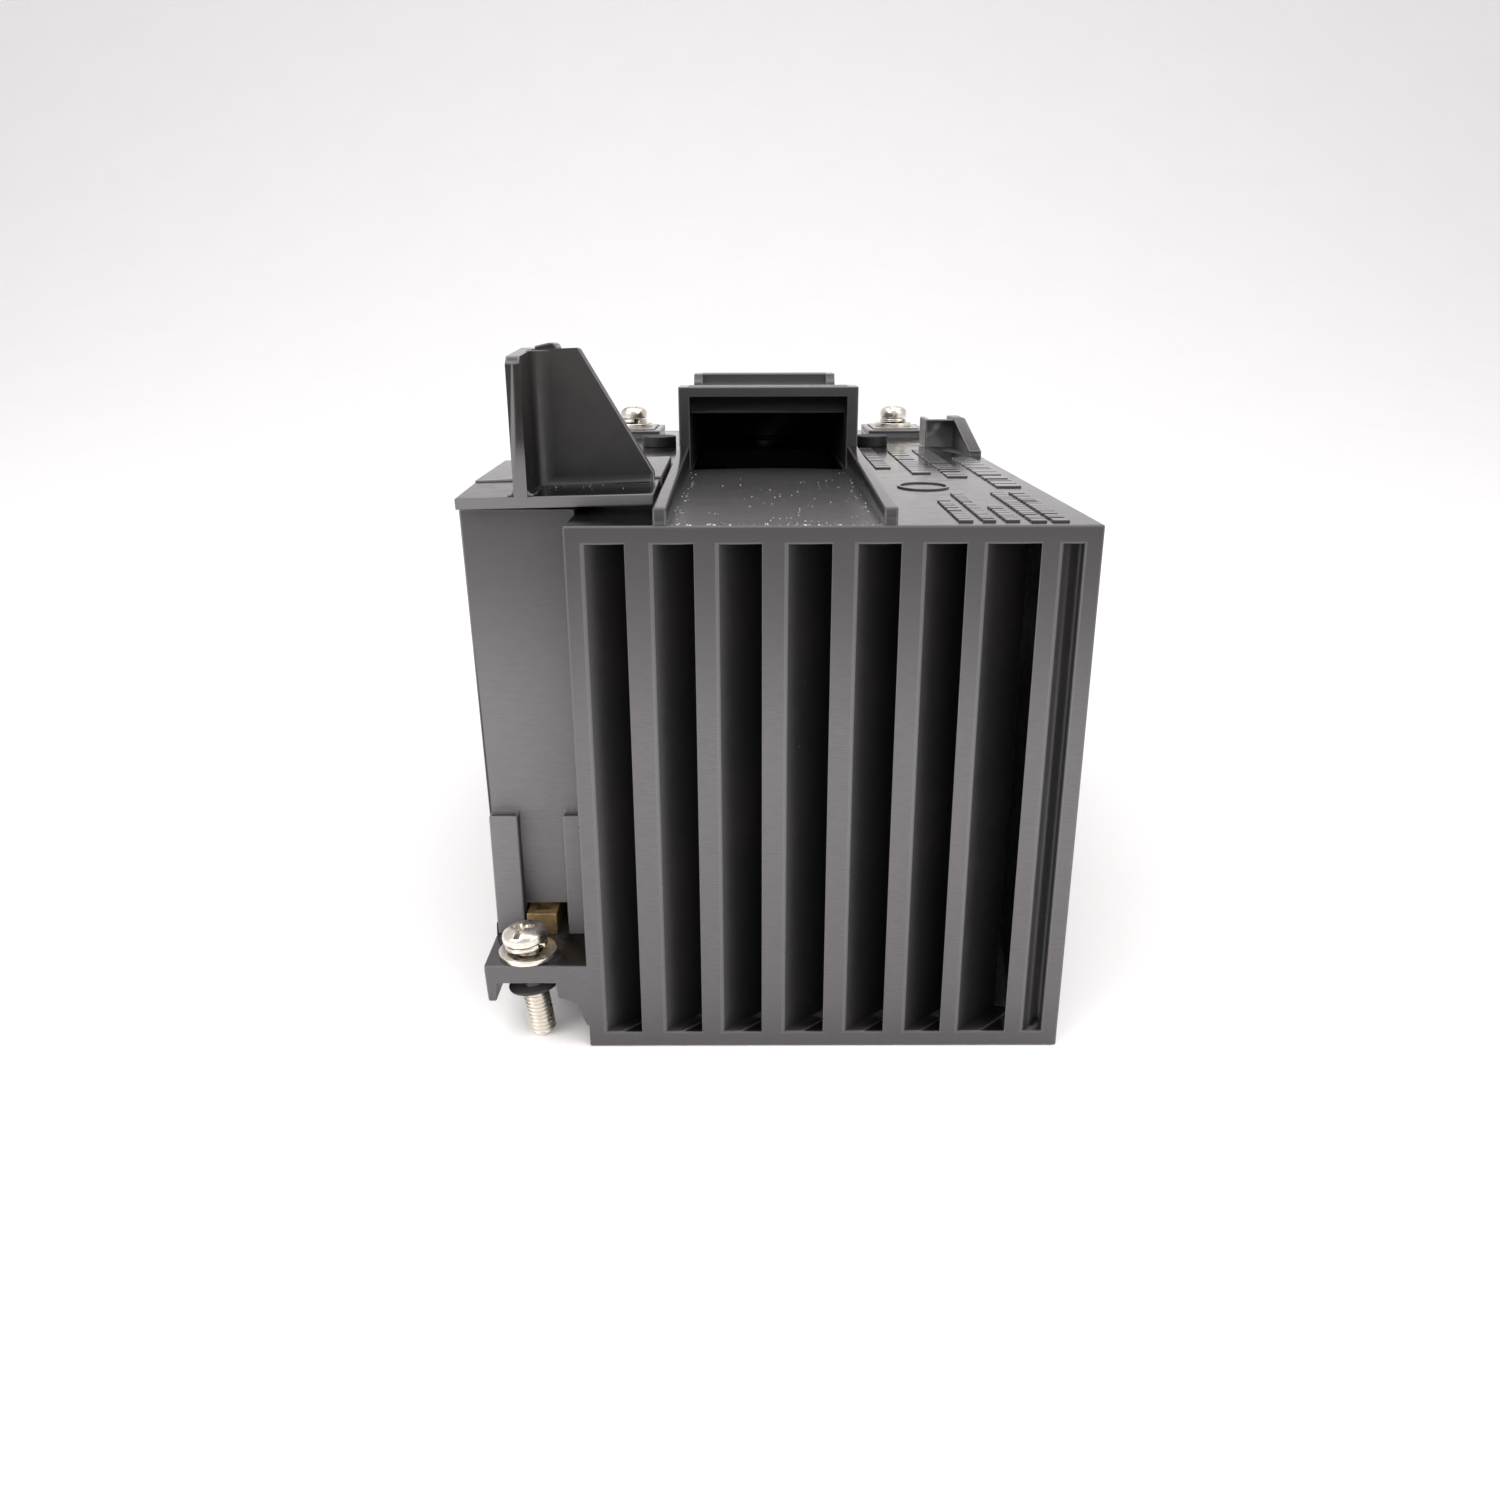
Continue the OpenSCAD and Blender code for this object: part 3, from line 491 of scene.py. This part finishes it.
def pan_head_mesh(name, r, high):
    """Domed pan head with a cross recess crossed by a slot, its edges worn round."""
    outline = [(0, 0.0), (r - 0.25, 0.0), (r - 0.05, 0.04), (r, 0.12), (r, 0.41), (r - 0.12, 0.58), (r - 0.45, 0.73),
               (r - 1.0, 0.84), (r - 1.8, 0.93), (r - 2.8, 0.975), (0.9, 0.994), (0, 1.0)]
    profile = [(radius, share * high) for radius, share in outline]
    o = bpy.data.objects.new(name, spun(name, profile, 72))
    bpy.context.scene.collection.objects.link(o)
    lip = high + 0.6
    bars = [("cross_a", r * 1.3, r * 0.34, high * 0.47, 0.5, 0.0),
            ("cross_b", r * 1.3, r * 0.34, high * 0.47, 0.5, math.pi / 2),
            ("well", r * 0.62, r * 0.62, high * 0.55, 0.6, math.pi / 4),
            ("slot", 12.0, r * 0.27, high * 0.7, 1.0, 0.0)]
    cutters = [cutter_object(n, lambda bm: tapered_bar(bm, length, width, foot, lip, shrink, turn))
               for n, length, width, foot, shrink, turn in bars]
    for c in cutters:
        m = o.modifiers.new(c.name, "BOOLEAN")
        m.object, m.operation, m.solver = c, "DIFFERENCE", "EXACT"
    b = o.modifiers.new("worn", "BEVEL")
    b.limit_method, b.angle_limit, b.width, b.segments = "ANGLE", math.radians(30), 0.14 * MM, 3
    apply_all(o)
    mesh = o.data
    for extra in cutters + [o]:
        bpy.data.objects.remove(extra)
    return mesh


def spring_mesh(name, inner, outer):
    """Split lock washer: a square section swept round, its two ends apart in height."""
    thick, rise = 0.9, 0.38
    rows = []
    steps = 60
    for k in range(steps + 1):
        t = k / steps
        a = math.radians(8 + 344 * t)
        ring = []
        for r, h in ((inner, 0.1), (inner + 0.1, 0), (outer - 0.15, 0), (outer, 0.15),
                     (outer, thick - 0.15), (outer - 0.15, thick), (inner + 0.1, thick), (inner, thick - 0.1)):
            ring.append((r * MM * math.cos(a), r * MM * math.sin(a), (rise * t + h) * MM))
        rows.append(ring)
    return grid_mesh(name, rows)


def ring_mesh(name, inner, outer, thick, edge=0.12):
    return spun(name, [(inner, edge), (inner + edge, 0), (outer - edge, 0), (outer, edge), (outer, thick - edge),
                       (outer - edge, thick), (inner + edge, thick), (inner, thick - edge)])


def stand(mesh, name, node, origin, tilt, lift, spin, material=None, replace=True):
    """Places a turned piece on a screw's axis, from its seat up."""
    o = add_object(name, mesh.copy(), [material or MATERIALS[SLOT_OF[node]]])
    o.data.transform(Matrix.Translation(origin) @ Matrix.Rotation(-tilt, 4, "Y")
                     @ Matrix.Translation((0, 0, lift * MM)) @ Matrix.Rotation(math.radians(spin), 4, "Z"))
    if material is None:
        finish_mesh(o)
    return settle(o, node, replace)


RETAINER = spun("retainer", [(1.98, 0.1), (2.1, 0.0), (4.45, 0.0), (4.67, 0.12), (4.7, 0.35), (4.55, 0.55),
                             (4.35, 0.6), (2.1, 0.6), (1.98, 0.5)])


def screw_set(kind, size, nodes, tilt, gap, neck, length, spin):
    """Screw, spring washer and flat washer on one axis, with the retaining washer below if there is one."""
    screw_node, spring_node, flat_node = nodes[:3]
    lo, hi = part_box(flat_node)
    seat = Vector(((lo.x + hi.x) / 2, (lo.y + hi.y) / 2, lo.z))
    head = pan_head_mesh(kind + "_blank", size["head"], size["high"])
    spring = spring_mesh(kind + "_coil", size["bore"] + 0.02, size["spring"])
    stand(head, kind + "_head", screw_node, seat, tilt, STACK + gap, spin)
    shank = stand(thread_mesh(kind + "_thread", size, neck, length), kind + "_shank", screw_node, seat, tilt,
                  STACK + gap, spin, THREAD, replace=False)
    for f in shank.data.polygons:
        f.use_smooth = True
    stand(spring, kind + "_spring", spring_node, seat, tilt, WASHER_T + (gap if tilt else 0.0) + 0.01, spin + 250)
    flat = ring_mesh(kind + "_flat", size["flat"], WASHER_R, WASHER_T, 0.16)
    stand(flat, kind + "_washer", flat_node, seat, 0.0, 0.0, 0)
    if len(nodes) > 3:
        stand(RETAINER, kind + "_retainer", nodes[3], seat, tilt, RETAINER_LIFT, 0)


for side, spin in (("line", 35), ("load", 70)):
    screw_set(side, M4, [side + n for n in ("_terminal_screw", "_spring_washer", "_flat_washer")], 0.0, 0.0,
              TERMINAL_NECK, TERMINAL_THREAD, spin)
for end, tilt, spin in (("front", SCREW_LEAN, 78), ("rear", 0.0, 15)):
    screw_set(end, M5, [end + n for n in ("_captive_screw", "_spring_washer", "_flat_washer", "_retaining_washer")],
              tilt, LEAN_GAP, CAPTIVE_NECK, CAPTIVE_THREAD, spin)


# ---------------------------------------------------------------- moulded parts

for node, width in (("main_housing", 0.35), ("duct_hood", 0.3), ("control_module_case", 0.35), ("front_cap", 0.3),
                    ("rear_cap", 0.3), ("rear_cover", 0.35), ("control_contact_block", 0.18),
                    ("blanking_plugs", 0.35)):
    refined(node, width)


def raised_marks():
    """Rows of plain raised dashes and an oval ring on the right part of the top plate."""
    rnd = random.Random(5)
    bm = bmesh.new()

    def pad(x0, x1, y0, y1, h):
        m = Matrix.Translation(at((x0 + x1) / 2, (y0 + y1) / 2, PLATE_Z + h / 2 - 0.05))
        m = m @ Matrix.Diagonal(((x1 - x0) * MM, (y1 - y0) * MM, (h + 0.1) * MM, 1))
        bmesh.ops.create_cube(bm, size=1.0, matrix=m)

    rows = [(30.4, 32.7, 3.3, 28.3, 0.9), (34.3, 36.4, 3.4, 38.0, 0.9), (38.0, 40.3, 3.5, 20.0, 0.9),
            (42.0, 44.5, 2.9, 38.3, 0.9), (45.5, 48.2, 3.0, 38.5, 0.9), (24.6, 28.0, 81.0, 127.0, 1.6),
            (31.5, 35.5, 70.7, 120.5, 1.6), (38.0, 42.2, 64.0, 125.0, 1.8), (45.0, 49.8, 47.1, 104.0, 1.8)]
    for x0, x1, y0, y1, dash in rows:
        y = y0
        while y < y1 - dash:
            run = dash * rnd.uniform(0.8, 2.6)
            pad(x0, x1, y, min(y1, y + run), 0.32)
            y += run + dash * rnd.choice((0.45, 0.5, 0.55, 1.3))
    n = 56
    loops = []
    for r, h in ((1.0, 0.0), (1.0, 0.3), (0.88, 0.3), (0.88, 0.0)):
        loops.append([bm.verts.new(at(30.8 + 5.1 * r * math.cos(a), 48.8 + 6.0 * r * math.sin(a), PLATE_Z + h))
                      for a in turn_angles(n)])
    for a, b in zip(loops, loops[1:]):
        for i in range(n):
            bm.faces.new((a[i], a[(i + 1) % n], b[(i + 1) % n], b[i]))
    bmesh.ops.recalc_face_normals(bm, faces=bm.faces)
    mesh = bpy.data.meshes.new("raised_marks")
    bm.to_mesh(mesh)
    bm.free()
    # The raised marks take the lighter edge tone: rubbed wear together with a painted highlight.
    o = add_object("raised_marks", mesh, [EDGE["black_moulding"]])
    b = o.modifiers.new("soft", "BEVEL")
    b.limit_method, b.angle_limit, b.width, b.segments = "ANGLE", math.radians(40), 0.1 * MM, 2
    settle(o, "main_housing", replace=False)


raised_marks()


def flakes(name, node, places, seed):
    """Loose chips and lint lying on a part: irregular grains at (x, y, z, radius) in millimetres."""
    mesh = blobs(name, [(at(x, y, z), r * 1.5) for x, y, z, r in places], seed)
    settle(add_object(name, mesh, [LINT]), node, replace=False)


LINT = coated("lint", (0.50, 0.48, 0.44), (0.66, 0.64, 0.60), 0.8)
rnd = random.Random(11)
nicks = [(AXIS_X + rnd.uniform(-17, 17), rnd.uniform(0.3, 0.9), PLATE_Z + 0.02, rnd.uniform(0.05, 0.13))
         for _ in range(46)]
nicks += [(AXIS_X + rnd.uniform(-16.5, 16.5), 2 + 60 * rnd.random() ** 2, PLATE_Z + 0.03,
           rnd.uniform(0.04, 0.10)) for _ in range(70)]
nicks += [(AXIS_X + rnd.choice((-1, 1)) * rnd.uniform(15.2, 17.0), rnd.uniform(8, 74), PLATE_Z + 0.03,
           rnd.uniform(0.05, 0.12)) for _ in range(40)]
flakes("trough_dust", "main_housing", nicks, 3)
nicks = [(rnd.uniform(-42, -22), 17 + 9 * rnd.random(), 99.6, rnd.uniform(0.04, 0.09)) for _ in range(14)]
flakes("cap_dust", "front_cap", nicks, 4)


# ---------------------------------------------------------------- the other CAD nodes keep their shape

replaced = {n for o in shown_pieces() for n in o.get("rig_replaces", [])}
for node, o in frame["nodes"].items():
    if node in replaced:
        continue
    o.data.materials.clear()
    o.data.materials.append(MATERIALS[SLOT_OF[node]])
    b = o.modifiers.new("edges", "BEVEL")
    b.limit_method, b.angle_limit, b.width, b.segments = "ANGLE", math.radians(30), 0.12 * MM, 2


# ---------------------------------------------------------------- stage, light and camera


def sweep():
    """Pale floor that curves up into a backdrop."""
    outline = [(-1.6, 0.0), (0.5, 0.0)]
    outline += [(0.5 + 1.2 * math.sin(a), 1.2 - 1.2 * math.cos(a)) for a in [math.radians(3 * i) for i in range(1, 31)]]
    outline += [(1.7, 2.6)]
    bm = bmesh.new()
    rows = [[bm.verts.new((x, y, z - 0.0001)) for y, z in outline] for x in (-2.6, 2.6)]
    for i in range(len(outline) - 1):
        bm.faces.new((rows[0][i], rows[1][i], rows[1][i + 1], rows[0][i + 1]))
    bmesh.ops.recalc_face_normals(bm, faces=bm.faces)
    mesh = bpy.data.meshes.new("sweep")
    bm.to_mesh(mesh)
    bm.free()
    g = Graph("paper")
    g.set(Base_Color=g.mix(g.span(g.noise(0.02, 3.0), 0.3, 0.7), (0.895, 0.88, 0.885), (0.905, 0.89, 0.895)), Roughness=0.85)
    g.bump(g.noise(1.2, 3.0), 0.03)
    o = add_object("paper_sweep", mesh, [g.mat])
    for p in mesh.polygons:
        p.use_smooth = True


sweep()


def softbox(name, place, aim, size, power):
    light = bpy.data.lights.new(name, "AREA")
    light.shape = "RECTANGLE"
    light.size, light.size_y = size
    light.energy = power
    light.color = (1.0, 0.98, 0.97)
    o = bpy.data.objects.new(name, light)
    o.location = place
    o.rotation_mode = "QUATERNION"
    o.rotation_quaternion = (Vector(aim) - Vector(place)).to_track_quat("-Z", "Y")
    bpy.context.scene.collection.objects.link(o)
    return o


softbox("top_box", (0.0, 0.1, 1.1), (0, 0, 0), (1.2, 1.2), 9.0)
fill = softbox("front_fill", (0.0, FRONT_Y - 0.05, 0.05), (0, FRONT_Y, 0.05), (0.26, 0.03), 0.085)
fill.visible_camera = False
fill.visible_glossy = False
softbox("left_box", (-0.9, -0.7, 0.7), (0, -0.05, 0.05), (0.8, 0.8), 5.5)
softbox("right_box", (0.9, -0.7, 0.7), (0, -0.05, 0.05), (0.8, 0.8), 3.5)

world = bpy.data.worlds.new("studio")
world.use_nodes = True
world.node_tree.nodes["Background"].inputs[0].default_value = (0.97, 0.955, 0.965, 1.0)
world.node_tree.nodes["Background"].inputs[1].default_value = 0.7
bpy.context.scene.world = world
bpy.context.scene.view_settings.view_transform = "Standard"

camera_data = bpy.data.cameras.new("camera")
camera_data.sensor_width = 36.0
camera_data.lens = 28.6
camera = bpy.data.objects.new("camera", camera_data)
camera.rotation_mode = "XYZ"
camera.location = (-0.00325, FRONT_Y - 0.190, 0.1254)
camera.rotation_euler = (math.radians(90 - 19.48), math.radians(0.15), 0.0)
camera_data.clip_start = 0.01
bpy.context.scene.collection.objects.link(camera)
bpy.context.scene.camera = camera
